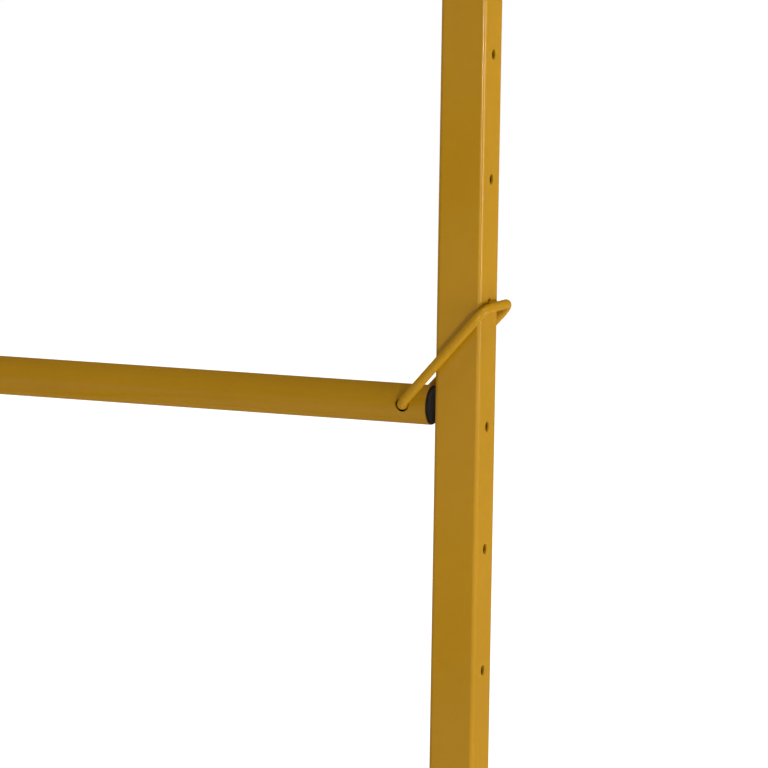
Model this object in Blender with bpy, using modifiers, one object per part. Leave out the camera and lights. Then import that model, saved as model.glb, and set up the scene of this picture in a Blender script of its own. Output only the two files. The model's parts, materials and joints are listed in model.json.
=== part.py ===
"""Adjustable balance beam: a padded beam carried by two steel stands.

Each stand has two square uprights with a row of latch holes, and a round crossbar hung between
them on two wire bails. A bail wraps round its upright, and the peg on its closed end sits in a
latch hole. Lifting the crossbar draws the pegs out, so that the beam can be set higher or lower.

X runs along the crossbars, Y along the beam and Z up. The origin is on the floor, at the centre.
"""

import math

import bmesh
import bpy
from mathutils import Matrix, Vector

# Driving dimensions, in metres.
CLEARANCE = 0.0003
UPRIGHT_SPACING = 1.100
STAND_SPACING = 2.000
BAR_HEIGHT = 0.500

TUBE_SIDE = 0.0381
TUBE_WALL = 0.002
TUBE_CORNER = 0.0032
UPRIGHT_TOP = 0.860
FOOT_LENGTH = 0.520
SOLE = 0.006

HOLE_DIAMETER = 0.008
HOLE_PITCH = 0.098
HOLES_BELOW_BAIL = 4
HOLES_ABOVE_BAIL = 2

BAR_DIAMETER = 0.03175
BAR_WALL = 0.002
BAR_END_GAP = 0.0075
PLUG_DISC = 0.001
PIVOT_INSET = 0.02015
PIVOT_RISE = 0.001
PIVOT_HOLE_DIAMETER = 0.011

WIRE_DIAMETER = 0.0079
BAIL_WIDTH_AT_PIVOT = 0.0466
BAIL_WIDTH_AT_LATCH = 0.060
BAIL_BEND = 0.0125
BAIL_ELBOW = 0.0072
BAIL_STANDOFF = 0.0069
BAIL_RISE = 0.0819
STUB_DEPTH = 0.007
LATCH_RISE = 0.0838
PEG_DIAMETER = 0.006
PEG_REACH = 0.0035

SOCKET_LENGTH = 0.090
SOCKET_WALL = 0.003
SOCKET_FIT = 0.0006

BOLT_DIAMETER = 0.008
BOLT_HOLE = 0.009
BOLT_HEAD = 0.0055
BOLT_NUT = 0.0065
BOLT_CORNERS = 0.0150
BOLT_INSET = 0.055

SCREW_DIAMETER = 0.005
SCREW_HOLE = 0.0058
SCREW_LENGTH = 0.030
SCREW_HEAD = 0.0025
SCREW_HEAD_DIAMETER = 0.010
SADDLE_SCREW_Y = 0.045
END_SCREW_Z = 0.034

BEAM_LENGTH = 2.160
BEAM_WIDTH = 0.100
BEAM_RADIUS = 0.014
CORE_DEPTH = 0.104
PADDING = 0.008
FOAM_DEPTH = 0.006
END_PLATE = 0.004

SADDLE_WIDTH = 0.092
SADDLE_LENGTH = 0.120
SADDLE_PLATE = 0.005
FLANGE = 0.004
FLANGE_FOOT = 0.014

# Places that follow from them.
HALF_TUBE = TUBE_SIDE / 2
BAR_RADIUS = BAR_DIAMETER / 2
BASE_LEVEL = SOLE + HALF_TUBE
UPRIGHT_FOOT = SOLE + TUBE_SIDE + CLEARANCE
BAR_END = UPRIGHT_SPACING / 2 - HALF_TUBE - BAR_END_GAP
BAR_HALF = BAR_END - PLUG_DISC - CLEARANCE
PIVOT_X = BAR_END - PIVOT_INSET
PEG_DROP = (HOLE_DIAMETER - PEG_DIAMETER) / 2 - CLEARANCE
CLOSED_END = Vector(
    (UPRIGHT_SPACING / 2 + HALF_TUBE + BAIL_STANDOFF - PIVOT_X, 0, BAIL_RISE - PIVOT_RISE)
)
PILOT = SCREW_DIAMETER + 2 * CLEARANCE
FLANGE_Y = BAR_RADIUS + CLEARANCE + FLANGE / 2
SADDLE_BASE = BAR_HEIGHT + BAR_RADIUS + CLEARANCE
CORE_BASE = SADDLE_BASE + SADDLE_PLATE + CLEARANCE
CORE_WIDTH = BEAM_WIDTH - 2 * (PADDING + CLEARANCE)
BEAM_TOP = CORE_BASE + CORE_DEPTH + CLEARANCE + PADDING
SIDES = {"right": 1, "left": -1}
STANDS = {"far": 1, "near": -1}


# ---------------------------------------------------------------- scene and materials


def clear_scene():
    """Remove every object and collection that the file opens with."""
    for obj in list(bpy.data.objects):
        bpy.data.objects.remove(obj)
    for collection in list(bpy.data.collections):
        bpy.data.collections.remove(collection)


def new_collection(name, hidden=False):
    """A collection under the scene's own, left out of renders if hidden."""
    collection = bpy.data.collections.new(name)
    bpy.context.scene.collection.children.link(collection)
    collection.hide_render = hidden
    return collection


def new_material(name, color, roughness, metallic=0.0):
    """A plain Principled material."""
    material = bpy.data.materials.new(name)
    material.use_nodes = True
    material.diffuse_color = (*color, 1)
    shader = material.node_tree.nodes["Principled BSDF"]
    shader.inputs["Base Color"].default_value = (*color, 1)
    shader.inputs["Roughness"].default_value = roughness
    shader.inputs["Metallic"].default_value = metallic
    return material


clear_scene()
PARTS = new_collection("balance_beam")
CUTTERS = new_collection("cutters", hidden=True)
YELLOW = new_material("yellow_powder_coat", (0.52, 0.25, 0.014), 0.38)
BLACK = new_material("black_plastic", (0.02, 0.02, 0.02), 0.55)
RUBBER = new_material("rubber", (0.03, 0.03, 0.03), 0.8)
STEEL = new_material("zinc_plated_steel", (0.62, 0.62, 0.6), 0.35, metallic=1.0)
TIMBER = new_material("timber", (0.55, 0.36, 0.18), 0.6)
SUEDE = new_material("suede_cover", (0.42, 0.27, 0.15), 0.9)
FOAM = new_material("closed_cell_foam", (0.08, 0.08, 0.09), 0.85)


# ---------------------------------------------------------------- building blocks


def place(obj, material, location=(0, 0, 0), rotation=(0, 0, 0), parent=None):
    """Put an object in the parts collection, with its material, place and parent."""
    for collection in list(obj.users_collection):
        collection.objects.unlink(obj)
    PARTS.objects.link(obj)
    obj.location = location
    obj.rotation_euler = rotation
    obj.parent = parent
    obj.data.materials.clear()
    obj.data.materials.append(material)
    return obj


def mesh_from(curve_object):
    """Turn a curve object into a welded mesh object, and remove the curve."""
    bpy.context.view_layer.update()
    evaluated = curve_object.evaluated_get(bpy.context.evaluated_depsgraph_get())
    mesh = bpy.data.meshes.new_from_object(evaluated)
    work = bmesh.new()
    work.from_mesh(mesh)
    bmesh.ops.remove_doubles(work, verts=work.verts, dist=1e-6)
    bmesh.ops.recalc_face_normals(work, faces=work.faces)
    work.to_mesh(mesh)
    work.free()
    name = curve_object.name
    matrix = curve_object.matrix_world.copy()
    bpy.data.objects.remove(curve_object)
    obj = bpy.data.objects.new(name, mesh)
    obj.matrix_world = matrix
    PARTS.objects.link(obj)
    return obj


def extrusion(name, outlines, length):
    """Flat outlines, of which the inner ones are holes, drawn out along local Z, centred."""
    curve = bpy.data.curves.new(name, "CURVE")
    curve.dimensions = "2D"
    curve.fill_mode = "BOTH"
    curve.extrude = length / 2
    for outline in outlines:
        spline = curve.splines.new("POLY")
        spline.points.add(len(outline) - 1)
        for point, (x, y) in zip(spline.points, outline):
            point.co = (x, y, 0, 1)
        spline.use_cyclic_u = True
    obj = bpy.data.objects.new(name, curve)
    PARTS.objects.link(obj)
    return mesh_from(obj)


def rounded_rectangle(width, depth, radius, steps=3):
    """The outline of a rectangle with round corners."""
    points = []
    for quarter in range(4):
        start = quarter * math.pi / 2
        x = (width / 2 - radius) * (1 if quarter in (0, 3) else -1)
        y = (depth / 2 - radius) * (1 if quarter in (0, 1) else -1)
        for step in range(steps + 1):
            angle = start + math.pi / 2 * step / steps
            points.append((x + radius * math.cos(angle), y + radius * math.sin(angle)))
    return points


def square_tube(name, length, side=TUBE_SIDE, wall=TUBE_WALL):
    """A square steel tube along local Z, centred."""
    outer = rounded_rectangle(side, side, TUBE_CORNER)
    bore = rounded_rectangle(side - 2 * wall, side - 2 * wall, TUBE_CORNER - wall / 2)
    return extrusion(name, [outer, bore], length)


def box(name, size, edge=0.0, segments=2):
    """A box centred on its origin, with its edges rounded."""
    bpy.ops.mesh.primitive_cube_add(size=1)
    obj = bpy.context.active_object
    obj.name = name
    obj.data.transform(Matrix.Diagonal((*size, 1)))
    if edge:
        bevel = obj.modifiers.new("rounded edges", "BEVEL")
        bevel.width = edge
        bevel.segments = segments
    return obj


def cylinder(name, diameter, length, axis="Z", sides=16):
    """A cylinder centred on its origin, along one axis."""
    mesh = bpy.data.meshes.new(name)
    work = bmesh.new()
    turn = {
        "X": Matrix.Rotation(math.pi / 2, 4, "Y"),
        "Y": Matrix.Rotation(math.pi / 2, 4, "X"),
        "Z": Matrix.Identity(4),
    }[axis]
    bmesh.ops.create_cone(
        work,
        cap_ends=True,
        segments=sides,
        radius1=diameter / 2,
        radius2=diameter / 2,
        depth=length,
        matrix=turn,
    )
    work.to_mesh(mesh)
    work.free()
    obj = bpy.data.objects.new(name, mesh)
    PARTS.objects.link(obj)
    return obj


def ring(name, outer, inner, length, sides):
    """A turned ring or tube along local Z, from a wall profile and a Screw modifier."""
    half = length / 2
    profile = [(outer, half), (outer, -half), (inner, -half), (inner, half)]
    mesh = bpy.data.meshes.new(name)
    mesh.from_pydata(
        [(x / 2, 0, z) for x, z in profile],
        [(i, (i + 1) % len(profile)) for i in range(len(profile))],
        [],
    )
    obj = bpy.data.objects.new(name, mesh)
    PARTS.objects.link(obj)
    screw = obj.modifiers.new("turn", "SCREW")
    screw.steps = sides
    screw.render_steps = sides
    screw.use_merge_vertices = True
    screw.merge_threshold = 0.00001
    return obj


def combine(obj, tool, operation):
    """Apply a Boolean with another object, which is removed afterwards."""
    boolean = obj.modifiers.new(operation.lower(), "BOOLEAN")
    boolean.operation = operation
    boolean.solver = "EXACT"
    boolean.object = tool
    for collection in list(tool.users_collection):
        collection.objects.unlink(tool)
    CUTTERS.objects.link(tool)
    bpy.context.view_layer.update()
    evaluated = obj.evaluated_get(bpy.context.evaluated_depsgraph_get())
    mesh = bpy.data.meshes.new_from_object(evaluated)
    obj.modifiers.clear()
    obj.data = mesh
    bpy.data.objects.remove(tool)
    return obj


def cut_holes(obj, centres, diameter, depth, axis, sides=16):
    """Drill a round hole at each centre, given in the object's own frame."""
    for centre in centres:
        drill = cylinder("drill", diameter, depth, axis, sides)
        drill.location = obj.matrix_world @ Vector(centre)
        drill.rotation_euler = obj.matrix_world.to_euler()
        combine(obj, drill, "DIFFERENCE")
    return obj


def empty(name, location, parent=None):
    """An empty that carries the pieces of one moving body."""
    obj = bpy.data.objects.new(name, None)
    PARTS.objects.link(obj)
    obj.location = location
    obj.parent = parent
    bpy.context.view_layer.update()
    return obj


# ---------------------------------------------------------------- the two stands


def hole_heights():
    """Heights of the latch holes up an upright, the one in use among them."""
    used = BAR_HEIGHT + LATCH_RISE
    return [used + k * HOLE_PITCH for k in range(-HOLES_BELOW_BAIL, HOLES_ABOVE_BAIL + 1)]


def make_upright(stand, side):
    """One upright: a square tube with latch holes through its outer wall."""
    x = SIDES[side] * UPRIGHT_SPACING / 2
    y = STANDS[stand] * STAND_SPACING / 2
    middle = (UPRIGHT_FOOT + UPRIGHT_TOP) / 2
    obj = square_tube(f"upright_{stand}_{side}", UPRIGHT_TOP - UPRIGHT_FOOT)
    wall_x = SIDES[side] * (HALF_TUBE - TUBE_WALL / 2)
    centres = [(wall_x, 0, z - middle) for z in hole_heights()]
    cut_holes(obj, centres, HOLE_DIAMETER, 3 * TUBE_WALL, "X")
    return place(obj, YELLOW, (x, y, middle))


def make_cap(stand, side):
    """The black plug in an upright's top: a low rounded head on a hollow square spigot."""
    head_height = 0.005
    spigot = 0.018
    spigot_side = TUBE_SIDE - 2 * TUBE_WALL - 2 * CLEARANCE
    obj = box(f"cap_{stand}_{side}", (TUBE_SIDE, TUBE_SIDE, head_height), 0.0015)
    neck = box("neck", (spigot_side, spigot_side, spigot), TUBE_CORNER - TUBE_WALL / 2, 1)
    neck.location.z = -(head_height + spigot) / 2 + 0.002
    combine(obj, neck, "UNION")
    hollow = box("hollow", (spigot_side - 0.005, spigot_side - 0.005, spigot))
    hollow.location.z = -(head_height + spigot) / 2 - 0.001
    combine(obj, hollow, "DIFFERENCE")
    x = SIDES[side] * UPRIGHT_SPACING / 2
    y = STANDS[stand] * STAND_SPACING / 2
    return place(obj, BLACK, (x, y, UPRIGHT_TOP + CLEARANCE + head_height / 2))


def make_foot(stand, side):
    """The square tube that an upright stands on, lying along the beam."""
    x = SIDES[side] * UPRIGHT_SPACING / 2
    y = STANDS[stand] * STAND_SPACING / 2
    obj = square_tube(f"foot_{stand}_{side}", FOOT_LENGTH)
    return place(obj, YELLOW, (x, y, BASE_LEVEL), (math.pi / 2, 0, 0))


def make_shoe(stand, side, end):
    """A rubber shoe that wraps one end of a foot and stands on the floor."""
    skin = 0.004
    pocket_depth = 0.050
    width = TUBE_SIDE + 2 * (skin + CLEARANCE)
    height = SOLE + TUBE_SIDE + CLEARANCE + skin
    length = pocket_depth + skin
    obj = box(f"shoe_{stand}_{side}_{end}", (width, length, height), 0.0025)
    pocket = box("pocket", (TUBE_SIDE + 2 * CLEARANCE, length, TUBE_SIDE + 2 * CLEARANCE))
    outward = 1 if end == "outer" else -1
    outward *= STANDS[stand]
    pocket.location = (0, -outward * skin, BASE_LEVEL - height / 2)
    combine(obj, pocket, "DIFFERENCE")
    x = SIDES[side] * UPRIGHT_SPACING / 2
    foot_end = STANDS[stand] * STAND_SPACING / 2 + outward * FOOT_LENGTH / 2
    y = foot_end + outward * (skin + CLEARANCE - length / 2)
    return place(obj, RUBBER, (x, y, height / 2))


def make_tie(stand):
    """The floor tube that joins a stand's two feet."""
    length = UPRIGHT_SPACING - TUBE_SIDE - 2 * CLEARANCE
    obj = square_tube(f"tie_{stand}", length)
    location = (0, STANDS[stand] * STAND_SPACING / 2, BASE_LEVEL)
    return place(obj, YELLOW, location, (0, math.pi / 2, 0))


def bolt_y(stand):
    """Place along the beam of the bolt through a stretcher socket."""
    return STANDS[stand] * (STAND_SPACING / 2 - HALF_TUBE - BOLT_INSET)


def make_stretcher():
    """The long floor tube that holds the two stands apart, under the beam."""
    length = STAND_SPACING - TUBE_SIDE - 0.002
    obj = square_tube("stretcher", length)
    centres = [(0, 0, bolt_y(stand)) for stand in STANDS]
    cut_holes(obj, centres, BOLT_HOLE, 2 * TUBE_SIDE, "X")
    return place(obj, YELLOW, (0, 0, BASE_LEVEL), (-math.pi / 2, 0, 0))


def make_socket(stand):
    """The square sleeve on a tie, into which the stretcher slides."""
    side = TUBE_SIDE + 2 * (SOCKET_FIT + SOCKET_WALL)
    outer = rounded_rectangle(side, side, TUBE_CORNER + SOCKET_WALL)
    bore_side = TUBE_SIDE + 2 * SOCKET_FIT
    bore = rounded_rectangle(bore_side, bore_side, TUBE_CORNER)
    obj = extrusion(f"stretcher_socket_{stand}", [outer, bore], SOCKET_LENGTH)
    way = STANDS[stand]
    y = way * (STAND_SPACING / 2 - HALF_TUBE - CLEARANCE - SOCKET_LENGTH / 2)
    cut_holes(obj, [(0, 0, bolt_y(stand) - y)], BOLT_HOLE, 2 * side, "X")
    return place(obj, YELLOW, (0, y, BASE_LEVEL), (-math.pi / 2, 0, 0))


def hexagon_bolt(name, grip, axis):
    """A bolt centred on its grip: the head's inner face is half the grip from the origin."""
    obj = cylinder(name, BOLT_DIAMETER, grip + BOLT_HEAD + BOLT_NUT + 0.003, axis)
    along = Vector((1, 0, 0)) if axis == "X" else Vector((0, 1, 0))
    obj.data.transform(Matrix.Translation(along * (0.0015 + (BOLT_NUT - BOLT_HEAD) / 2)))
    head = cylinder("head", BOLT_CORNERS, BOLT_HEAD, axis, sides=6)
    head.location = -along * (grip + BOLT_HEAD) / 2
    return combine(obj, head, "UNION")


def hexagon_nut(name, axis):
    """A plain nut, bored to clear its bolt."""
    obj = cylinder(name, BOLT_CORNERS, BOLT_NUT, axis, sides=6)
    return cut_holes(obj, [(0, 0, 0)], BOLT_DIAMETER + 2 * CLEARANCE, 2 * BOLT_NUT, axis)


def make_socket_bolt(stand):
    """The bolt that pins the stretcher in its socket, with its nut."""
    grip = TUBE_SIDE + 2 * (SOCKET_FIT + SOCKET_WALL + CLEARANCE)
    spot = Vector((0, bolt_y(stand), BASE_LEVEL))
    place(hexagon_bolt(f"socket_bolt_{stand}", grip, "X"), STEEL, spot)
    beyond = Vector(((grip + BOLT_NUT) / 2, 0, 0))
    place(hexagon_nut(f"socket_nut_{stand}", "X"), STEEL, spot + beyond)


# ---------------------------------------------------------------- crossbars and bails


def make_crossbar(stand, carrier):
    """The round bar between two uprights, drilled for the bails' stubs and the saddle bolt."""
    obj = ring(f"crossbar_{stand}", BAR_DIAMETER, BAR_DIAMETER - 2 * BAR_WALL, 2 * BAR_HALF, 32)
    centres = [(-PIVOT_RISE, 0, way * PIVOT_X) for way in SIDES.values()]
    cut_holes(obj, centres, PIVOT_HOLE_DIAMETER, 2 * BAR_DIAMETER, "Y")
    cut_holes(obj, [(0, 0, 0)], BOLT_HOLE, 2 * BAR_DIAMETER, "Y")
    return place(obj, YELLOW, rotation=(0, math.pi / 2, 0), parent=carrier)


def rounded_corner(before, corner, after, radius, steps):
    """Points of the arc that rounds off a corner of a route."""
    back = (before - corner).normalized()
    ahead = (after - corner).normalized()
    half_angle = back.angle(ahead) / 2
    reach = radius / math.tan(half_angle)
    centre = corner + (back + ahead).normalized() * radius / math.sin(half_angle)
    start = (corner + back * reach - centre) / radius
    end = (corner + ahead * reach - centre) / radius
    sweep = start.angle(end)
    points = []
    for step in range(steps + 1):
        angle = sweep * step / steps
        arm = (start * math.sin(sweep - angle) + end * math.sin(angle)) / math.sin(sweep)
        points.append(centre + arm * radius)
    return points


def bail_half_route():
    """One half of a bail's centreline, from the stub in the bar to the middle of the closed end."""
    out = Vector((0, -1, 0))
    stub = out * (BAR_RADIUS - STUB_DEPTH)
    elbow = out * BAIL_WIDTH_AT_PIVOT / 2
    bend = CLOSED_END + out * BAIL_WIDTH_AT_LATCH / 2
    route = [stub]
    route += rounded_corner(stub, elbow, bend, BAIL_ELBOW, 5)
    route += rounded_corner(elbow, bend, CLOSED_END, BAIL_BEND, 7)
    return route


def make_bail(stand, side, carrier):
    """A wire bail, with its origin on the pivot, and the peg welded to its closed end."""
    half = bail_half_route()
    route = half + [Vector((p.x, -p.y, p.z)) for p in reversed(half)]
    curve = bpy.data.curves.new("wire", "CURVE")
    curve.dimensions = "3D"
    curve.bevel_depth = WIRE_DIAMETER / 2
    curve.bevel_resolution = 3
    curve.use_fill_caps = True
    spline = curve.splines.new("POLY")
    spline.points.add(len(route) - 1)
    way = SIDES[side]
    for point, place_on_wire in zip(spline.points, route):
        point.co = (way * place_on_wire.x, place_on_wire.y, place_on_wire.z, 1)
    wire = bpy.data.objects.new(f"bail_{stand}_{side}", curve)
    PARTS.objects.link(wire)
    obj = mesh_from(wire)
    peg_length = BAIL_STANDOFF + PEG_REACH
    peg = cylinder("peg", PEG_DIAMETER, peg_length, "X", sides=16)
    level = LATCH_RISE - PEG_DROP - PIVOT_RISE
    peg.location = (way * (CLOSED_END.x - peg_length / 2), 0, level)
    combine(obj, peg, "UNION")
    return place(obj, YELLOW, parent=carrier)


def make_plug(stand, side, carrier):
    """The black plug in a crossbar's end: a thin disc on a short spigot."""
    spigot = 0.0075
    fit = BAR_DIAMETER - 2 * BAR_WALL - 2 * CLEARANCE
    obj = cylinder(f"bar_plug_{stand}_{side}", BAR_DIAMETER - 0.0006, PLUG_DISC, "X", 32)
    neck = cylinder("neck", fit, spigot, "X", 32)
    way = SIDES[side]
    neck.location.x = -way * spigot / 2
    combine(obj, neck, "UNION")
    x = way * (BAR_END - PLUG_DISC / 2)
    return place(obj, BLACK, (x, 0, 0), parent=carrier)


# ---------------------------------------------------------------- the beam


def make_core():
    """The timber core, with pilot holes for the saddle screws and the end screws."""
    obj = box("beam_core", (CORE_WIDTH, BEAM_LENGTH, CORE_DEPTH), 0.007, 1)
    for way in STANDS.values():
        for side in (1, -1):
            y = way * STAND_SPACING / 2 + side * SADDLE_SCREW_Y
            cut_holes(obj, [(0, y, -CORE_DEPTH / 2)], PILOT, 2 * SCREW_LENGTH, "Z", 12)
            spot = (0, way * BEAM_LENGTH / 2, side * END_SCREW_Z)
            cut_holes(obj, [spot], PILOT, 2 * SCREW_LENGTH, "Y", 12)
    return place(obj, TIMBER, (0, 0, CORE_BASE + CORE_DEPTH / 2))


def wrap_outline(half_width, top, radius, thickness, steps=4):
    """An upside-down U: a skin over a beam's top and sides, open underneath, about z = 0."""
    outer = [(half_width, 0)]
    inner = [(half_width - thickness, 0)]
    for step in range(steps + 1):
        angle = math.pi / 2 * step / steps
        cosine, sine = math.cos(angle), math.sin(angle)
        outer.append((half_width - radius + radius * cosine, top - radius + radius * sine))
        small = radius - thickness
        inner.append((half_width - radius + small * cosine, top - radius + small * sine))
    right = outer
    left = [(-x, y) for x, y in reversed(outer)]
    inside = [(-x, y) for x, y in inner] + list(reversed(inner))
    return right + left + inside


def make_wrap(name, gap, thickness, material):
    """A skin round the core, a given gap outside it."""
    half_width = CORE_WIDTH / 2 + gap + thickness
    top = CORE_DEPTH + gap + thickness
    radius = BEAM_RADIUS - (BEAM_WIDTH / 2 - half_width)
    outline = wrap_outline(half_width, top, radius, thickness)
    obj = extrusion(name, [outline], BEAM_LENGTH)
    return place(obj, material, (0, 0, CORE_BASE), (math.pi / 2, 0, 0))


def make_end_cap(stand):
    """The black plate that closes one end of the beam, with holes for its two screws."""
    depth = BEAM_TOP - CORE_BASE
    outline = rounded_rectangle(BEAM_WIDTH, depth, 0.012, 4)
    obj = extrusion(f"end_cap_{stand}", [outline], END_PLATE)
    core_middle = (CORE_DEPTH - depth) / 2
    centres = [(0, core_middle + way * END_SCREW_Z, 0) for way in (1, -1)]
    cut_holes(obj, centres, SCREW_HOLE, 3 * END_PLATE, "Z", 12)
    y = STANDS[stand] * (BEAM_LENGTH / 2 + CLEARANCE + END_PLATE / 2)
    return place(obj, BLACK, (0, y, CORE_BASE + depth / 2), (math.pi / 2, 0, 0))


def screw(name):
    """A pan-head screw along local Z, with the underside of its head at z = 0."""
    shank = cylinder(name, SCREW_DIAMETER, SCREW_LENGTH, "Z", 12)
    shank.data.transform(Matrix.Translation((0, 0, (SCREW_LENGTH - SCREW_HEAD) / 2)))
    head = cylinder("head", SCREW_HEAD_DIAMETER, SCREW_HEAD, "Z", 16)
    head.location.z = -SCREW_HEAD / 2
    return combine(shank, head, "UNION")


def make_end_screws(stand):
    """The two screws of an end cap."""
    way = STANDS[stand]
    y = way * (BEAM_LENGTH / 2 + 2 * CLEARANCE + END_PLATE)
    middle = CORE_BASE + CORE_DEPTH / 2
    for level, side in (("upper", 1), ("lower", -1)):
        spot = (0, y, middle + side * END_SCREW_Z)
        turn = (way * math.pi / 2, 0, 0)
        place(screw(f"end_screw_{stand}_{level}"), STEEL, spot, turn)


def make_saddle(stand):
    """The bracket under the beam: a plate, and two flanges that straddle the crossbar."""
    y = STANDS[stand] * STAND_SPACING / 2
    plate = box(f"saddle_{stand}", (SADDLE_WIDTH, SADDLE_LENGTH, SADDLE_PLATE), 0.001, 1)
    middle = SADDLE_BASE + SADDLE_PLATE / 2
    drop = middle - BAR_HEIGHT + FLANGE_FOOT
    for way in (1, -1):
        flange = box("flange", (SADDLE_WIDTH - 0.004, FLANGE, drop))
        flange.location = (0, way * FLANGE_Y, -drop / 2)
        combine(plate, flange, "UNION")
    screws = [(0, way * SADDLE_SCREW_Y, 0) for way in (1, -1)]
    cut_holes(plate, screws, SCREW_HOLE, 3 * SADDLE_PLATE, "Z", 12)
    cut_holes(plate, [(0, 0, BAR_HEIGHT - middle)], BOLT_HOLE, 4 * FLANGE_Y, "Y")
    return place(plate, YELLOW, (0, y, middle))


def make_saddle_bolt(stand):
    """The bolt through a saddle's flanges and the middle of its crossbar, with its nut."""
    y = STANDS[stand] * STAND_SPACING / 2
    grip = 2 * (FLANGE_Y + FLANGE / 2 + CLEARANCE)
    spot = Vector((0, y, BAR_HEIGHT))
    place(hexagon_bolt(f"saddle_bolt_{stand}", grip, "Y"), STEEL, spot)
    beyond = Vector((0, (grip + BOLT_NUT) / 2, 0))
    place(hexagon_nut(f"saddle_nut_{stand}", "Y"), STEEL, spot + beyond)


def make_saddle_screws(stand):
    """The two screws that hold a saddle to the beam's core."""
    y = STANDS[stand] * STAND_SPACING / 2
    for place_name, way in (("inner", -STANDS[stand]), ("outer", STANDS[stand])):
        spot = (0, y + way * SADDLE_SCREW_Y, SADDLE_BASE - CLEARANCE)
        place(screw(f"saddle_screw_{stand}_{place_name}"), STEEL, spot)


# ---------------------------------------------------------------- the whole


def build_stand(stand):
    """Everything that belongs to one stand and stays still."""
    make_tie(stand)
    make_socket(stand)
    make_socket_bolt(stand)
    for side in SIDES:
        make_upright(stand, side)
        make_cap(stand, side)
        make_foot(stand, side)
        for end in ("outer", "inner"):
            make_shoe(stand, side, end)


def build_crossbar(stand, lift):
    """One crossbar with its plugs and its bails."""
    axis = empty(f"crossbar_axis_{stand}", (0, STANDS[stand] * STAND_SPACING / 2, 0), lift)
    make_crossbar(stand, axis)
    for side in SIDES:
        make_plug(stand, side, axis)
        spot = (SIDES[side] * PIVOT_X, 0, PIVOT_RISE)
        pivot = empty(f"bail_pivot_{stand}_{side}", spot, axis)
        make_bail(stand, side, pivot)


def build_beam(lift):
    """The beam with all that rides on it, hung from the empty that raises it."""
    before = set(PARTS.objects)
    make_core()
    skin = PADDING - FOAM_DEPTH - CLEARANCE
    make_wrap("beam_foam", CLEARANCE, FOAM_DEPTH, FOAM)
    make_wrap("beam_cover", FOAM_DEPTH + 2 * CLEARANCE, skin, SUEDE)
    for stand in STANDS:
        make_end_cap(stand)
        make_end_screws(stand)
        make_saddle(stand)
        make_saddle_bolt(stand)
        make_saddle_screws(stand)
    for obj in set(PARTS.objects) - before:
        obj.parent = lift
        obj.matrix_parent_inverse = lift.matrix_world.inverted()


make_stretcher()
lift_origin = empty("lift", (0, 0, BAR_HEIGHT))
for stand_name in STANDS:
    build_stand(stand_name)
    build_crossbar(stand_name, lift_origin)
build_beam(lift_origin)
for made in PARTS.objects:
    if made.type == "MESH" and len(made.data.polygons):
        made.data.shade_smooth()
        made.data.set_sharp_from_angle(angle=math.radians(35))
bpy.context.view_layer.update()
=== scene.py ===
"""Looks for the adjustable balance beam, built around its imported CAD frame."""

import json
import math
import random

import bmesh
import bpy
from mathutils import Matrix, Vector


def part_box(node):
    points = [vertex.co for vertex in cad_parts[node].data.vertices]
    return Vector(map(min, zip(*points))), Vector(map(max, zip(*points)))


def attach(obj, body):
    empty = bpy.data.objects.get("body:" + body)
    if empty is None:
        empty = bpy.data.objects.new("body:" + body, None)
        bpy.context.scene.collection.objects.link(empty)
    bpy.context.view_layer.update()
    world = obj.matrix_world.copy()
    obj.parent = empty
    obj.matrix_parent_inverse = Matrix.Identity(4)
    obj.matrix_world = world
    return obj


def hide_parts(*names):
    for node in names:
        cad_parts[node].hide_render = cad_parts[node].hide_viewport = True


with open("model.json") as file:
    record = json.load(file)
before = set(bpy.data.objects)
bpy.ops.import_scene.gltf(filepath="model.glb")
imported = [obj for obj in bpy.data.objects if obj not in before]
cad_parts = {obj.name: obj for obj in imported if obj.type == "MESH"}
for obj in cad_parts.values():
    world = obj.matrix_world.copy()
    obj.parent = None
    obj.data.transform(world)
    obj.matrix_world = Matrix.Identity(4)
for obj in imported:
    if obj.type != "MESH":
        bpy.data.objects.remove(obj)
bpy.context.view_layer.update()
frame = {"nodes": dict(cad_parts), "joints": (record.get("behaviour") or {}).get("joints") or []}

MM = 0.001
X, Y, Z = Vector((1, 0, 0)), Vector((0, 1, 0)), Vector((0, 0, 1))
STANDS = {"far": 1, "near": -1}
SIDES = {"right": 1, "left": -1}
LEVELS = ("upper", "lower")
JOINTS = {joint["name"]: joint for joint in frame["joints"]}

# Sizes that repeat the CAD model's.
CLEARANCE = 0.3 * MM
TUBE_SIDE = 38.1 * MM
TUBE_WALL = 2.0 * MM
LATCH_HOLE = 8.0 * MM
HOLE_PITCH = 98.0 * MM
HOLES_BELOW_BAIL = 4
HOLES_ABOVE_BAIL = 2
BAR_RADIUS = 15.875 * MM
PIVOT_HOLE = 11.0 * MM
SOCKET_WALL = 3.0 * MM
BOLT = 8.0 * MM
BOLT_HOLE = 9.0 * MM
BOLT_HEAD = 5.5 * MM
BOLT_CORNERS = 15.0 * MM
SCREW_HOLE = 5.8 * MM
SCREW_HEAD = 2.5 * MM
SADDLE_SCREW_Y = 45.0 * MM
SADDLE_PLATE = 5.0 * MM
FLANGE = 4.0 * MM
COVER_RADIUS = 14.0 * MM

# Finer than the CAD model's: rounded corners, lips and slack.
TUBE_CORNER = 3.7 * MM
SOCKET_CORNER = 6.2 * MM
TUBE_LIP = 0.5 * MM
CORNER_STEPS = 8
BAR_SIDES = 64
DRILL_DEPTH = 8.0 * MM
PIVOT_SLACK = (1.2 * MM, 0.4 * MM)  # how far the bail's hole is inward of and below its wire
WELD_PITCH = 2.4 * MM
THIN_WELD = 1.9 * MM
COVER_THICKNESS = 1.7 * MM

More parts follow.
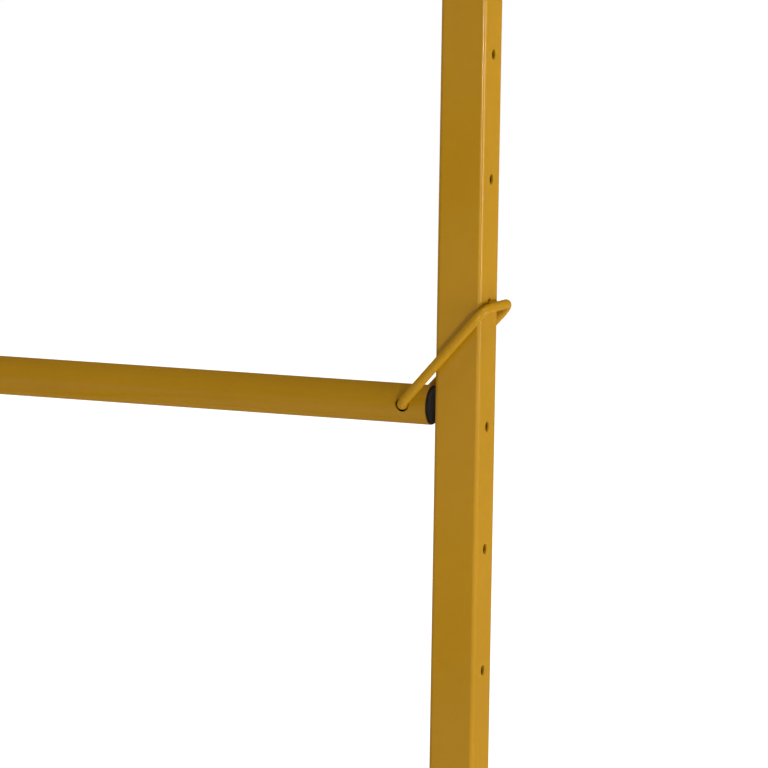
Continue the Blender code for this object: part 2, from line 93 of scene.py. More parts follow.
# The bail's wire and peg, with places counted from its pivot.
WIRE_RADIUS = 3.86 * MM
CLOSED_OUT = 72.65 * MM
CLOSED_UP = 80.9 * MM
HOLE_RISE = 82.8 * MM
BAIL_TIP = 8.9 * MM
BAIL_HALF_AT_PIVOT = 23.3 * MM
BAIL_HALF_AT_LATCH = 30.0 * MM
BAIL_ELBOW = 7.2 * MM
BAIL_BEND = 12.5 * MM
BAIL_FLAT = 6.0 * MM
PEG_RADIUS = 3.0 * MM
PEG_LENGTH = 10.4 * MM
PEG_RISE = 1.2 * MM

# The yellow coat's shades.
COAT_DARK = (0.375, 0.192, 0.0060)
COAT_LIGHT = (0.400, 0.205, 0.0075)
COAT_DEEP = (0.345, 0.174, 0.0050)
COAT_SPECK = (0.10, 0.06, 0.02)

# The camera, placed from the far right upright at the crossbar's height; turns in degrees.
CORNER_POST = Vector((0.55, 1.0, 0.5))
CAMERA_PLACE = Vector((1.2605, -3.2677, 0.4755))
CAMERA_YAW, CAMERA_PITCH, CAMERA_ROLL = 22.15, 7.45, 0.87
CAMERA_LENS = 209.2

# The studio. The backdrop and the floor's glow are what the camera sees of the surround and the
# floor; the surround and the floor's bounce are what lights the object.
SURROUND = 0.27
BACKDROP = 1.02
FLOOR_GLOW = 0.51
FLOOR_BOUNCE = 0.29
FLOOR_RADIUS = 90
OVERHEAD = 1.2
OVERHEAD_SPREAD = 28
OVERHEAD_FROM = Vector((0.22, -0.16, 0.96))
LIGHT_AIM = Vector((0.3, 0.4, 0.45))
LIGHT_DISTANCE = 5.0
LIGHTS = {  # direction, width, power, color
    "key": ((0.64, -0.77, 0.03), 0.4, 98.0, (1.0, 0.975, 0.82)),
    "side": ((0.97, 0.06, 0.03), 1.2, 113.0, (1.0, 0.98, 0.88)),
    "fill": ((-0.62, 0.62, 0.48), 1.6, 45.0, (1.0, 0.99, 0.97)),
}

random.seed(7)


# ---------------------------------------------------------------- node materials


class Nodes:
    """A short way to write a material's nodes."""

    def __init__(self, name):
        self.material = bpy.data.materials.new(name)
        self.material.use_nodes = True
        self.tree = self.material.node_tree
        self.shader = self.tree.nodes["Principled BSDF"]

    def node(self, kind, **settings):
        made = self.tree.nodes.new(kind)
        for key, value in settings.items():
            setattr(made, key, value)
        return made

    def link(self, source, target):
        self.tree.links.new(source, target)

    def feed(self, source, target):
        """Give a socket another node's output, a number or a color."""
        if isinstance(source, (int, float)):
            target.default_value = source
        elif isinstance(source, tuple):
            target.default_value = (*source, 1)
        else:
            self.link(source, target)

    def set(self, **values):
        for key, value in values.items():
            self.shader.inputs[key.replace("_", " ")].default_value = value

    def coordinates(self, scale=(1, 1, 1)):
        mapping = self.node("ShaderNodeMapping")
        mapping.inputs["Scale"].default_value = scale
        self.link(self.node("ShaderNodeTexCoord").outputs["Object"], mapping.inputs["Vector"])
        return mapping.outputs["Vector"]

    def noise(self, scale, detail=3.0, roughness=0.55, vector=None, distortion=0.0):
        made = self.node("ShaderNodeTexNoise")
        made.inputs["Scale"].default_value = scale
        made.inputs["Detail"].default_value = detail
        made.inputs["Roughness"].default_value = roughness
        made.inputs["Distortion"].default_value = distortion
        self.link(vector or self.coordinates(), made.inputs["Vector"])
        return made.outputs["Fac"]

    def cells(self, scale):
        made = self.node("ShaderNodeTexVoronoi")
        made.inputs["Scale"].default_value = scale
        self.link(self.coordinates(), made.inputs["Vector"])
        return made.outputs["Distance"]

    def wave(self, scale, direction, distortion=0.0):
        made = self.node("ShaderNodeTexWave", bands_direction=direction)
        made.inputs["Scale"].default_value = scale
        made.inputs["Distortion"].default_value = distortion
        self.link(self.coordinates(), made.inputs["Vector"])
        return made.outputs["Fac"]

    def ramp(self, source, *stops):
        made = self.node("ShaderNodeValToRGB")
        elements = made.color_ramp.elements
        while len(elements) < len(stops):
            elements.new(0.5)
        for element, (position, color) in zip(elements, stops):
            element.position = position
            element.color = (*color, 1)
        self.link(source, made.inputs["Fac"])
        return made.outputs["Color"]

    def span(self, source, low, high, start=0.0, end=1.0):
        """Stretch start to end of a value over low to high."""
        made = self.node("ShaderNodeMapRange")
        limits = {"From Min": start, "From Max": end, "To Min": low, "To Max": high}
        for key, value in limits.items():
            made.inputs[key].default_value = value
        self.link(source, made.inputs["Value"])
        return made.outputs["Result"]

    def mix(self, factor, first, second):
        made = self.node("ShaderNodeMix", data_type="RGBA")
        sockets = (0, 6, 7)  # a color mix's own factor, A and B
        for socket, value in zip(sockets, (factor, first, second)):
            self.feed(value, made.inputs[socket])
        return made.outputs[2]

    def math(self, operation, first, second=0.0):
        made = self.node("ShaderNodeMath", operation=operation)
        self.feed(first, made.inputs[0])
        self.feed(second, made.inputs[1])
        return made.outputs[0]

    def color(self, source):
        self.link(source, self.shader.inputs["Base Color"])

    def roughness(self, source):
        self.link(source, self.shader.inputs["Roughness"])

    def bump(self, *layers):
        """Layers of (height, distance in metres, strength), each over the one before."""
        normal = None
        for height, distance, strength in layers:
            made = self.node("ShaderNodeBump")
            made.inputs["Distance"].default_value = distance
            made.inputs["Strength"].default_value = strength
            self.link(height, made.inputs["Height"])
            if normal:
                self.link(normal, made.inputs["Normal"])
            normal = made.outputs["Normal"]
        self.link(normal, self.shader.inputs["Normal"])


def powder_coat(name, tone=1.0):
    """Yellow powder coat: orange peel, faint clouding, a few tiny specks."""
    n = Nodes(name)
    # A tone below 1 darkens every colour of the coat, for a copy that carries painted shade.
    dark, light, deep = (
        tuple(tone * channel for channel in color) for color in (COAT_DARK, COAT_LIGHT, COAT_DEEP)
    )
    base = n.ramp(n.noise(9, 4), (0.3, dark), (0.7, light))
    base = n.mix(n.span(n.noise(120, 2), 0.0, 0.25, 0.4, 0.75), base, deep)
    dots = n.span(n.cells(420), 1.0, 0.0, 0.03, 0.07)
    rare = n.span(n.noise(60, 1), 0.0, 1.0, 0.62, 0.68)
    n.color(n.mix(n.math("MULTIPLY", dots, rare), base, COAT_SPECK))
    n.roughness(n.span(n.noise(45, 3), 0.26, 0.42))
    peel = n.noise(520, 1.5, 0.4)
    waviness = n.noise(70, 2)
    n.bump((waviness, 0.25 * MM, 0.35), (peel, 0.06 * MM, 0.5))
    n.set(Specular_IOR_Level=0.0, Coat_Weight=0.068, Coat_IOR=2.6, Coat_Roughness=0.14)
    return n.material


def black_plastic():
    """Moulded plastic with a spark-eroded grain, paler where it has been rubbed."""
    n = Nodes("black_plastic")
    n.set(Specular_IOR_Level=0.03)
    n.color(n.ramp(n.noise(25, 4), (0.3, (0.018, 0.013, 0.009)), (0.75, (0.028, 0.021, 0.016))))
    n.roughness(n.span(n.noise(80, 2), 0.42, 0.6))
    n.bump((n.cells(1500), 0.08 * MM, 0.5))
    return n.material


def black_rubber():
    """Moulded rubber: matt, with pale dust in its pores."""
    n = Nodes("black_rubber")
    dust = n.span(n.noise(40, 5, 0.7), 0.0, 0.5, 0.5, 0.8)
    n.color(n.mix(dust, (0.022, 0.021, 0.020), (0.085, 0.078, 0.068)))
    n.roughness(n.span(n.noise(60, 3), 0.72, 0.9))
    n.bump((n.noise(900, 3, 0.7), 0.1 * MM, 0.6))
    return n.material


def zinc():
    """Bright zinc plate with a slight blue and yellow cast and fine turning marks."""
    n = Nodes("zinc_plated_steel")
    n.set(Metallic=1.0)
    blue, grey, yellow = (0.52, 0.53, 0.55), (0.66, 0.66, 0.64), (0.70, 0.66, 0.54)
    n.color(n.ramp(n.noise(160, 4), (0.3, blue), (0.6, grey), (0.8, yellow)))
    n.roughness(n.span(n.noise(300, 3), 0.24, 0.42))
    n.bump((n.noise(1800, 2), 0.02 * MM, 0.6))
    return n.material


def timber():
    """Glued pine laminations with grain along the beam."""
    n = Nodes("laminated_timber")
    late, middle, early = (0.40, 0.23, 0.10), (0.60, 0.40, 0.20), (0.68, 0.49, 0.27)
    rings = n.noise(1.6, 6, 0.6, n.coordinates((60, 1.6, 60)), 1.2)
    fine = n.noise(14, 3, 0.6, n.coordinates((60, 2, 60)))
    wood = n.ramp(rings, (0.35, late), (0.5, middle), (0.68, early))
    wood = n.mix(n.span(fine, 0.0, 0.35, 0.45, 0.7), wood, (0.36, 0.20, 0.09))
    split = n.node("ShaderNodeSeparateXYZ")
    n.link(n.coordinates((36, 1, 1)), split.inputs[0])
    phase = n.math("ABSOLUTE", n.math("SUBTRACT", n.math("FRACT", split.outputs[0]), 0.5))
    glue = n.span(phase, 1.0, 0.0, 0.0, 0.02)
    n.color(n.mix(n.math("MULTIPLY", glue, 0.6), wood, (0.20, 0.11, 0.05)))
    n.roughness(n.span(fine, 0.45, 0.65))
    n.bump((fine, 0.15 * MM, 0.5))
    return n.material


def suede():
    """Synthetic suede: a short brushed nap that lies in patches."""
    n = Nodes("suede_cover")
    dark, tan, pale = (0.235, 0.140, 0.074), (0.300, 0.188, 0.106), (0.365, 0.240, 0.144)
    nap = n.noise(16, 5, 0.65, distortion=0.6)
    strokes = n.noise(6, 4, 0.6, n.coordinates((9, 1.3, 9)), 0.8)
    fibre = n.noise(950, 3, 0.75)
    lay = n.math("ADD", n.math("MULTIPLY", nap, 0.55), n.math("MULTIPLY", strokes, 0.45))
    base = n.ramp(lay, (0.36, dark), (0.52, tan), (0.66, pale))
    n.color(n.mix(n.span(fibre, 0.0, 0.5, 0.4, 0.8), base, (0.46, 0.33, 0.215)))
    n.roughness(n.span(nap, 0.86, 0.98))
    n.bump((lay, 0.6 * MM, 0.25), (fibre, 0.2 * MM, 0.75))
    n.set(Sheen_Weight=0.45, Sheen_Roughness=0.4)
    return n.material


def foam():
    """Closed-cell foam, seen only along its cut edge."""
    n = Nodes("closed_cell_foam")
    cell = n.cells(1100)
    n.color(n.ramp(cell, (0.1, (0.035, 0.035, 0.038)), (0.6, (0.075, 0.075, 0.08))))
    n.roughness(n.span(cell, 0.85, 0.95))
    n.bump((cell, 0.3 * MM, 0.6))
    return n.material


def thread():
    """Bonded nylon sewing thread, with its twist."""
    n = Nodes("sewing_thread")
    twist = n.wave(900, "DIAGONAL")
    n.color(n.mix(twist, (0.20, 0.12, 0.06), (0.38, 0.26, 0.15)))
    n.roughness(n.span(twist, 0.55, 0.7))
    n.bump((twist, 0.1 * MM, 0.5))
    return n.material


def tape():
    """The narrow woven webbing that binds the cover's lower edges."""
    n = Nodes("woven_binding")
    weave = n.wave(260, "Y", 1.5)
    base = n.mix(weave, (0.13, 0.078, 0.042), (0.23, 0.145, 0.085))
    n.color(n.mix(n.span(n.noise(30, 3), 0.0, 0.3), base, (0.10, 0.06, 0.035)))
    n.roughness(n.span(weave, 0.75, 0.9))
    n.bump((weave, 0.2 * MM, 0.7))
    return n.material


COAT = powder_coat("yellow_powder_coat")
# The crossbar wears a darker copy of the same coat: painted shade over the whole bar.
COAT_BAR_PAINTED_SHADE = powder_coat("yellow_powder_coat_painted_shade_bar", 0.89)
PLASTIC = black_plastic()
RUBBER = black_rubber()
ZINC = zinc()
TIMBER = timber()
SUEDE = suede()
FOAM = foam()
THREAD = thread()
TAPE = tape()


# ---------------------------------------------------------------- mesh building blocks


def in_mm(pairs):
    """Pairs written in millimetres, as metres."""
    return [(a * MM, b * MM) for a, b in pairs]


def axes_along(axis):
    """Two unit vectors square to an axis, so that the three are right-handed."""
    axis = axis.normalized()
    side = Z if abs(axis.dot(Z)) < 0.9 else X
    u = side.cross(axis).normalized()
    return u, axis.cross(u).normalized()


def new_piece(name, work, material, smooth=40):
    """A mesh object from a bmesh, smooth except over edges sharper than an angle in degrees."""
    bmesh.ops.recalc_face_normals(work, faces=work.faces)
    mesh = bpy.data.meshes.new(name)
    work.to_mesh(mesh)
    work.free()
    mesh.shade_smooth()
    mesh.set_sharp_from_angle(angle=math.radians(smooth))
    mesh.materials.append(material)
    piece = bpy.data.objects.new(name, mesh)
    bpy.context.scene.collection.objects.link(piece)
    return piece


def weigh_normals(piece):
    """Keep broad faces flat beside rounded edges."""
    weighted = piece.modifiers.new("weighted normals", "WEIGHTED_NORMAL")
    weighted.keep_sharp = True
    weighted.weight = 100
    return piece


def circle(radius, sides):
    """The outline of a circle, as pairs."""
    angles = [2 * math.pi * i / sides for i in range(sides)]
    return [(radius * math.cos(angle), radius * math.sin(angle)) for angle in angles]


def rounded_rectangle(width, depth, radius, steps=CORNER_STEPS):
    """The outline of a rectangle with round corners, as pairs."""
    points = []
    for quarter, (sx, sy) in enumerate(((1, 1), (-1, 1), (-1, -1), (1, -1))):
        cx, cy = sx * (width / 2 - radius), sy * (depth / 2 - radius)
        for step in range(steps + 1):
            angle = math.pi / 2 * (quarter + step / steps)
            points.append((cx + radius * math.cos(angle), cy + radius * math.sin(angle)))
    return points


def ring_of(work, centre, u, v, outline):
    """Vertices round a centre, from an outline's pairs along two unit vectors."""
    return [work.verts.new(centre + u * a + v * b) for a, b in outline]


def bridge(work, loops, closed=False):
    """Quads between successive rings of vertices, and from the last to the first if closed."""
    pairs = list(zip(loops, loops[1:]))
    if closed:
        pairs.append((loops[-1], loops[0]))
    for first, second in pairs:
        count = len(first)
        for i in range(count):
            j = (i + 1) % count
            work.faces.new((first[i], first[j], second[j], second[i]))


def loft(work, loops):
    """A solid through successive rings, with a face over each end."""
    bridge(work, loops)
    work.faces.new(loops[0])
    work.faces.new(loops[-1])


class SquareSection:
    """The section of a square tube, shrunk by a distance when called."""

    def __init__(self, side, wall, corner):
        self.side, self.wall, self.corner = side, wall, corner

    def __call__(self, shrink):
        side = self.side - 2 * shrink
        return rounded_rectangle(side, side, max(self.corner - shrink / 2, 0.3 * MM))


class RoundSection:
    """The section of a round tube, shrunk by a distance when called."""

    def __init__(self, radius, wall):
        self.radius, self.wall = radius, wall

    def __call__(self, shrink):
        return circle(self.radius - shrink, BAR_SIDES)


def hollow_section(work, start, end, section):
    """A tube from start to end, with the edges of its ends taken off."""
    axis = (end - start).normalized()
    u, v = axes_along(axis)

    def ring(centre, shrink):
        return ring_of(work, centre, u, v, section(shrink))

    near, far = start + axis * TUBE_LIP, end - axis * TUBE_LIP
    wall, inner_lip = section.wall, section.wall - TUBE_LIP
    loops = [
        ring(near, 0), ring(far, 0), ring(end, TUBE_LIP), ring(end, inner_lip),
        ring(far, wall), ring(near, wall), ring(start, inner_lip), ring(start, TUBE_LIP),
    ]
    bridge(work, loops, closed=True)


def turned(work, origin, axis, profile, sides):
    """A solid of revolution from (radius, distance along axis) pairs; zero radius closes it."""
    u, v = axes_along(axis)
    axis = axis.normalized()
    loops = []
    for radius, along in profile:
        centre = origin + axis * along
        if radius < 1e-6:
            loops.append([work.verts.new(centre)])
        else:
            loops.append(ring_of(work, centre, u, v, circle(radius, sides)))
    for first, second in zip(loops, loops[1:]):
        for i in range(sides):
            j = (i + 1) % sides
            if len(first) == 1:
                work.faces.new((first[0], second[j], second[i]))
            elif len(second) == 1:
                work.faces.new((first[i], first[j], second[0]))
            else:
                work.faces.new((first[i], first[j], second[j], second[i]))


def turned_piece(name, origin, axis, profile, sides, material, smooth=40):
    """A piece that is one solid of revolution."""
    work = bmesh.new()
    turned(work, origin, axis, profile, sides)
    return new_piece(name, work, material, smooth)


def sweep(work, points, radii, sides, closed=False):
    """A round wire along points, with a radius at each, capped unless closed."""
    count = len(points)
    tangents = []
    for i in range(count):
        before = points[i - 1] if i or closed else points[0]
        after = points[(i + 1) % count] if i < count - 1 or closed else points[-1]
        tangents.append((after - before).normalized())
    normal = axes_along(tangents[0])[0]
    loops = []
    for point, tangent, radius in zip(points, tangents, radii):
        normal = (normal - tangent * normal.dot(tangent)).normalized()
        across = tangent.cross(normal)
        loops.append(ring_of(work, point, normal, across, circle(radius, sides)))
    if closed:
        bridge(work, loops, closed=True)
    else:
        loft(work, loops)


def subtract(piece, cutter):
    """Cut one piece out of another when it is baked."""
    boolean = piece.modifiers.new(cutter.name, "BOOLEAN")
    boolean.operation, boolean.solver, boolean.object = "DIFFERENCE", "EXACT", cutter
    return cutter


def drill(piece, name, origin, axis, profile, sides=32):
    """Cut a turned shape out of a piece when it is baked."""
    material = piece.data.materials[0]
    return subtract(piece, turned_piece(name, origin, axis, profile, sides, material))


def bake(piece, cutters):
    """Turn a piece's modifiers into its own mesh, and remove its cutters."""
    bpy.context.view_layer.update()
    evaluated = piece.evaluated_get(bpy.context.evaluated_depsgraph_get())
    mesh = bpy.data.meshes.new_from_object(evaluated)
    piece.modifiers.clear()
    old, piece.data = piece.data, mesh
    bpy.data.meshes.remove(old)
    mesh.shade_smooth()
    mesh.set_sharp_from_angle(angle=math.radians(40))
    for cutter in cutters:
        bpy.data.objects.remove(cutter)


def hole_profile(radius, depth=DRILL_DEPTH, chamfer=0.45 * MM):
    """A straight hole with a chamfered mouth; depth counts from the surface."""
    over = 1 * MM
    return [
        (0, over), (radius + chamfer + over, over), (radius + chamfer, 0),
        (radius, -chamfer), (radius, -depth), (0, -depth),
    ]


def settle(piece, body, replaces=()):
    """Say which body a piece rides and which nodes it stands for."""
    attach(piece, body)
    if replaces:
        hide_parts(*replaces)


def node_box(node):
    """A CAD node's lowest and highest corners."""
    return (Vector(corner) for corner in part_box(node))


def middle_of(node):
    """A CAD node's box centre and its size."""
    low, high = node_box(node)
    return (low + high) / 2, high - low


# ---------------------------------------------------------------- steel tubes and welds


SQUARE = SquareSection(TUBE_SIDE, TUBE_WALL, TUBE_CORNER)


def make_tube(node, axis, section, body, drills=(), coat=COAT):
    """A finely rounded tube for a CAD tube. drills: (origin, outward axis, radius, depth)."""
    centre, size = middle_of(node)
    half = axis * abs(size.dot(axis)) / 2
    work = bmesh.new()
    hollow_section(work, centre - half, centre + half, section)
    piece = new_piece(f"{node}_skin", work, coat)
    cutters = []
    for number, (origin, outward, radius, depth) in enumerate(drills):
        profile = hole_profile(radius, depth)
        cutters.append(drill(piece, f"drill_{number}", origin, outward, profile))
    if cutters:
        bake(piece, cutters)
    settle(weigh_normals(piece), body, replaces=[node])


def bail_pivot(stand, side):
    """The place of a bail's hinge."""
    return Vector(JOINTS[f"bail_{stand}_{side}_swing"]["pos_m"])


def latch_heights():
    """Heights of the latch holes, counted from the one that the bails are in."""
    rest = bail_pivot("far", "right").z + HOLE_RISE
    return [rest + k * HOLE_PITCH for k in range(-HOLES_BELOW_BAIL, HOLES_ABOVE_BAIL + 1)]


def weld_bead(name, corners, body, radius=2.2 * MM, closed=False):
    """A rippled fillet weld that follows straight runs between corners."""
    points, radii = [], []
    following = corners[1:] + corners[:1] if closed else corners[1:]
    for start, end in zip(corners, following):
        count = max(2, round((end - start).length / (WELD_PITCH / 3)))
        points += [start.lerp(end, i / count) for i in range(count)]
    if not closed:
        points.append(corners[-1])
    for i in range(len(points)):
        ripple = 0.12 * math.cos(2 * math.pi * i / 3)
        wander = 0.10 * math.sin(i * 0.37) + random.uniform(-0.06, 0.06)
        radii.append(radius * (1 + ripple + wander))
    work = bmesh.new()
    sweep(work, points, radii, 8, closed)
    settle(new_piece(name, work, COAT, 80), body)


def square_loop(centre, half, axis, rounding):
    """The corners of a square round a centre, square to an axis, with its corners taken off."""
    u, v = axes_along(axis)
    outline = rounded_rectangle(2 * half, 2 * half, rounding, 2)
    return [centre + u * a + v * b for a, b in outline]


def make_upright(stand, side):
    """One upright with its latch holes, the foot under it, and the welds at its base."""
    way = SIDES[side]
    half = TUBE_SIDE / 2
    node, foot, tie = f"upright_{stand}_{side}", f"foot_{stand}_{side}", f"tie_{stand}"
    centre = middle_of(node)[0]
    face = centre.x + way * half
    drills = [
        (Vector((face, centre.y, height)), X * way, LATCH_HOLE / 2, TUBE_WALL + 2 * MM)
        for height in latch_heights()
    ]
    make_tube(node, Z, SQUARE, "stands", drills)
    make_tube(foot, Y, SQUARE, "stands")
    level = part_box(foot)[1][2] + 0.4 * MM
    reach = half - 3.4 * MM
    for place, offset in (("front", -half), ("back", half)):
        seam = [Vector((centre.x + s * reach, centre.y + offset, level)) for s in (1, -1)]
        weld_bead(f"weld_{place}_{stand}_{side}", seam, "stands")
    tie_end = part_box(tie)[1 if way > 0 else 0][0]
    spot = Vector((tie_end, centre.y, middle_of(tie)[0].z))
    loop = square_loop(spot, half - 0.6 * MM, X, 3 * MM)
    weld_bead(f"weld_tie_{stand}_{side}", loop, "stands", THIN_WELD, closed=True)


def make_socket(stand):
    """The square socket for the stretcher, with its bolt holes and the welds to its tie."""
    way = STANDS[stand]
    node = f"stretcher_socket_{stand}"
    centre, size = middle_of(node)
    half = size.x / 2
    bolt = middle_of(f"socket_bolt_{stand}")[0]
    drills = [
        (Vector((s * half, bolt.y, centre.z)), X * s, BOLT_HOLE / 2, SOCKET_WALL + 3 * MM)
        for s in (1, -1)
    ]
    make_tube(node, Y, SquareSection(size.x, SOCKET_WALL, SOCKET_CORNER), "stands", drills)
    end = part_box(node)[1 if way > 0 else 0][1] - way * 0.2 * MM
    level = middle_of(f"tie_{stand}")[0].z
    reach = TUBE_SIDE / 2 - 2 * MM
    for place, s in (("a", 1), ("b", -1)):
        seam = [Vector((s * (half - 0.5 * MM), end, level + t * reach)) for t in (1, -1)]
        weld_bead(f"weld_socket_{place}_{stand}", seam, "stands", THIN_WELD)


def make_stands():
    """Everything that stands on the floor and is welded or bolted together."""
    for stand in STANDS:
        for side in SIDES:
            make_upright(stand, side)
        make_tube(f"tie_{stand}", X, SQUARE, "stands")
        make_socket(stand)
    make_tube("stretcher", Y, SQUARE, "stands")


# ---------------------------------------------------------------- crossbars, bails and plugs


def make_crossbar(stand):
    """The round bar, with a chamfered hole for each bent end of its bails and for its bolt."""
    node = f"crossbar_{stand}"
    centre = middle_of(node)[0]
    inward, below = PIVOT_SLACK
    mouths = []
    for side, way in SIDES.items():
        pivot = bail_pivot(stand, side)
        mouths.append((pivot.x - way * inward, pivot.z - below, PIVOT_HOLE))
    mouths.append((0, centre.z, BOLT_HOLE))
    drills = [
        (Vector((x, centre.y + face * BAR_RADIUS, z)), Y * face, diameter / 2, DRILL_DEPTH)
        for x, z, diameter in mouths
        for face in (1, -1)
    ]
    make_tube(node, X, RoundSection(BAR_RADIUS, TUBE_WALL), "lift", drills, COAT_BAR_PAINTED_SHADE)


def rounded_corner(before, corner, after, radius):
    """Points of the arc that rounds off a corner of a route."""
    steps = 12
    back = (before - corner).normalized()
    ahead = (after - corner).normalized()
    half_angle = back.angle(ahead) / 2
    reach = radius / math.tan(half_angle)
    centre = corner + (back + ahead).normalized() * radius / math.sin(half_angle)
    start = (corner + back * reach - centre) / radius
    end = (corner + ahead * reach - centre) / radius
    arc = start.angle(end)
    points = []
    for step in range(steps + 1):
        angle = arc * step / steps
        arm = (start * math.sin(arc - angle) + end * math.sin(angle)) / math.sin(arc)
        points.append(centre + arm * radius)
    return points


def bail_route(pivot, closed):
    """The wire's centreline from one bent end, over the closed end, to the other."""
    tip, elbow = pivot - Y * BAIL_TIP, pivot - Y * BAIL_HALF_AT_PIVOT
    bend = closed - Y * BAIL_HALF_AT_LATCH
    half = [tip] + rounded_corner(tip, elbow, bend, BAIL_ELBOW)
    last = half[-1]
    corner = rounded_corner(elbow, bend, closed, BAIL_BEND)
    half += [last.lerp(corner[0], k / 4) for k in (1, 2, 3)]
    half += corner + [closed - Y * BAIL_FLAT]
    return half + [Vector((p.x, 2 * pivot.y - p.y, p.z)) for p in reversed(half)]


def make_bail(stand, side):
    """A bent wire, the peg on its closed end and the weld between them."""
    way = SIDES[side]
    name = f"bail_{stand}_{side}"
    pivot = bail_pivot(stand, side)
    closed = pivot + Vector((way * CLOSED_OUT, 0, CLOSED_UP))
    route = bail_route(pivot, closed)
    work = bmesh.new()
    sweep(work, route, [WIRE_RADIUS] * len(route), 28)
    settle(new_piece(f"{name}_wire", work, COAT, 60), name, replaces=[name])
    peg = [
        (0, 0), (PEG_RADIUS, 0), (PEG_RADIUS, PEG_LENGTH - 0.9 * MM),
        (PEG_RADIUS - 0.8 * MM, PEG_LENGTH), (0, PEG_LENGTH),
    ]
    weld = in_mm([(0, 0), (3.9, 0), (3.9, 2.4), (3.6, 3.8), (3.2, 4.6), (2.8, 4.9), (0, 4.9)])
    for kind, rise, profile in (("peg", PEG_RISE, peg), ("peg_weld", 0, weld)):
        piece = turned_piece(f"{name}_{kind}", closed + Z * rise, -X * way, profile, 28, COAT, 50)
        settle(piece, name)


def make_plug(stand, side):
    """The plug in the crossbar's end: a disc with a rounded rim and a shallow dish."""
    node = f"bar_plug_{stand}_{side}"
    way = SIDES[side]
    centre, size = middle_of(node)
    rim = size.z / 2
    neck = rim - 2.2 * MM
    profile = [
        (0, -0.45 * MM), (rim - 4 * MM, -0.45 * MM), (rim - 3 * MM, -0.05 * MM),
        (rim - 0.9 * MM, 0), (rim - 0.35 * MM, -0.15 * MM), (rim, -0.6 * MM),
        (rim, -1.5 * MM), (neck, -1.5 * MM), (neck, 0.6 * MM - size.x),
        (neck - 0.6 * MM, -size.x), (0, -size.x),
    ]
    face = centre + X * way * size.x / 2
    piece = turned_piece(f"{node}_skin", face, X * way, profile, BAR_SIDES, PLASTIC)
    settle(piece, "lift", replaces=[node])


# ---------------------------------------------------------------- plastic and rubber mouldings


def make_cap(stand, side):
    """The low domed plug in an upright's top, with its spigot inside the tube."""
    node = f"cap_{stand}_{side}"
    centre, size = middle_of(node)
    top = Vector((centre.x, centre.y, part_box(node)[1][2]))
    width, deep = size.x / MM, size.z / MM
    spigot = width - 2 * TUBE_WALL / MM - 0.8
    sections = [  # height below the top, width and corner radius, in millimetres
        (deep, spigot - 1.6, 1.5), (deep - 1.5, spigot, 2.0), (5.0, spigot, 2.0),
        (5.0, width - 0.3, 3.2), (4.4, width, 3.4), (2.6, width, 3.6), (1.3, width - 1.1, 3.8),
        (0.5, width - 4.0, 4.2), (0.1, width - 12, 5.0), (0.0, width - 24, 5.0),
    ]
    work = bmesh.new()
    loops = []
    for below, wide, radius in sections:
        outline = rounded_rectangle(wide * MM, wide * MM, radius * MM)
        loops.append(ring_of(work, top - Z * below * MM, X, Y, outline))
    loft(work, loops)
    piece = new_piece(f"{node}_skin", work, PLASTIC, 50)
    settle(weigh_normals(piece), "stands", replaces=[node])


def make_shoe(stand, side, end):
    """A rubber shoe over a foot's end, with ribs round its mouth and a rounded toe."""
    node = f"shoe_{stand}_{side}_{end}"
    centre, size = middle_of(node)
    outward = STANDS[stand] * (1 if end == "outer" else -1)
    axis = Y * outward
    mouth = centre - axis * size.y / 2
    u, v = axes_along(axis)
    length = size.y / MM
    skin = 3.9
    sections = [  # distance from the mouth, inset and corner radius, in millimetres
        (12, skin, 3.2), (0, skin, 3.2), (0, 1.0, 4), (0.8, 0.1, 4),
    ]
    for rib in range(3):
        start = 2.5 + 3.6 * rib
        for along, inset in ((0, 0), (0.5, 0.7), (1.3, 0.7), (1.8, 0)):
            sections.append((start + along, inset, 4))
    for back, inset in ((4.0, 0.0), (2.6, 0.25), (1.4, 0.9), (0.5, 2.0), (0.0, 3.6)):
        sections.append((length - back, inset, max(4.0 - inset * 0.3, 2.5)))
    work = bmesh.new()
    loops = []
    for along, inset, radius in sections:
        wide, tall = size.x - 2 * inset * MM, size.z - 2 * inset * MM
        outline = rounded_rectangle(wide, tall, radius * MM, 6)
        loops.append(ring_of(work, mouth + axis * along * MM, u, v, outline))
    loft(work, loops)
    piece = new_piece(f"{node}_skin", work, RUBBER, 45)
    settle(weigh_normals(piece), "stands", replaces=[node])


# ---------------------------------------------------------------- fasteners


def hexagon(work, origin, axis, height, bore=0.0):
    """A hexagon whose corners are turned off, from fine rings that follow its six flats."""
    u, v = axes_along(axis)
    sides, lip, chamfer = 48, 0.9 * MM, 0.6 * MM
    corner = BOLT_CORNERS / 2
    flat = corner * math.cos(math.pi / 6)
    shoulder = flat * 1.07

    def ring(along, limit):
        outline = []
        for i in range(sides):
            angle = 2 * math.pi * i / sides
            r = min(flat / math.cos(angle % (math.pi / 3) - math.pi / 6), limit)
            outline.append((r * math.cos(angle), r * math.sin(angle)))
        return ring_of(work, origin + axis * along, u, v, outline)

    loops = [
        ring(0, flat), ring(lip / 2, shoulder), ring(lip, corner),
        ring(height - lip, corner), ring(height - lip / 2, shoulder), ring(height, flat * 0.98),
    ]
    if not bore:
        loft(work, loops)
        return
    mouth = bore + chamfer
    for along, radius in ((height, mouth), (height - chamfer, bore), (chamfer, bore), (0, mouth)):
        loops.append(ring_of(work, origin + axis * along, u, v, circle(radius, sides)))
    bridge(work, loops, closed=True)


def thread_profile(start, end, major, minor, pitch):
    """Rings like a screw thread between two places along an axis."""
    points = []
    count = int((end - start) / pitch)
    for i in range(count):
        base = start + i * pitch
        points += [
            (minor, base + 0.1 * pitch), (major, base + 0.45 * pitch), (major, base + 0.6 * pitch),
        ]
    return points + [(minor, start + count * pitch)]


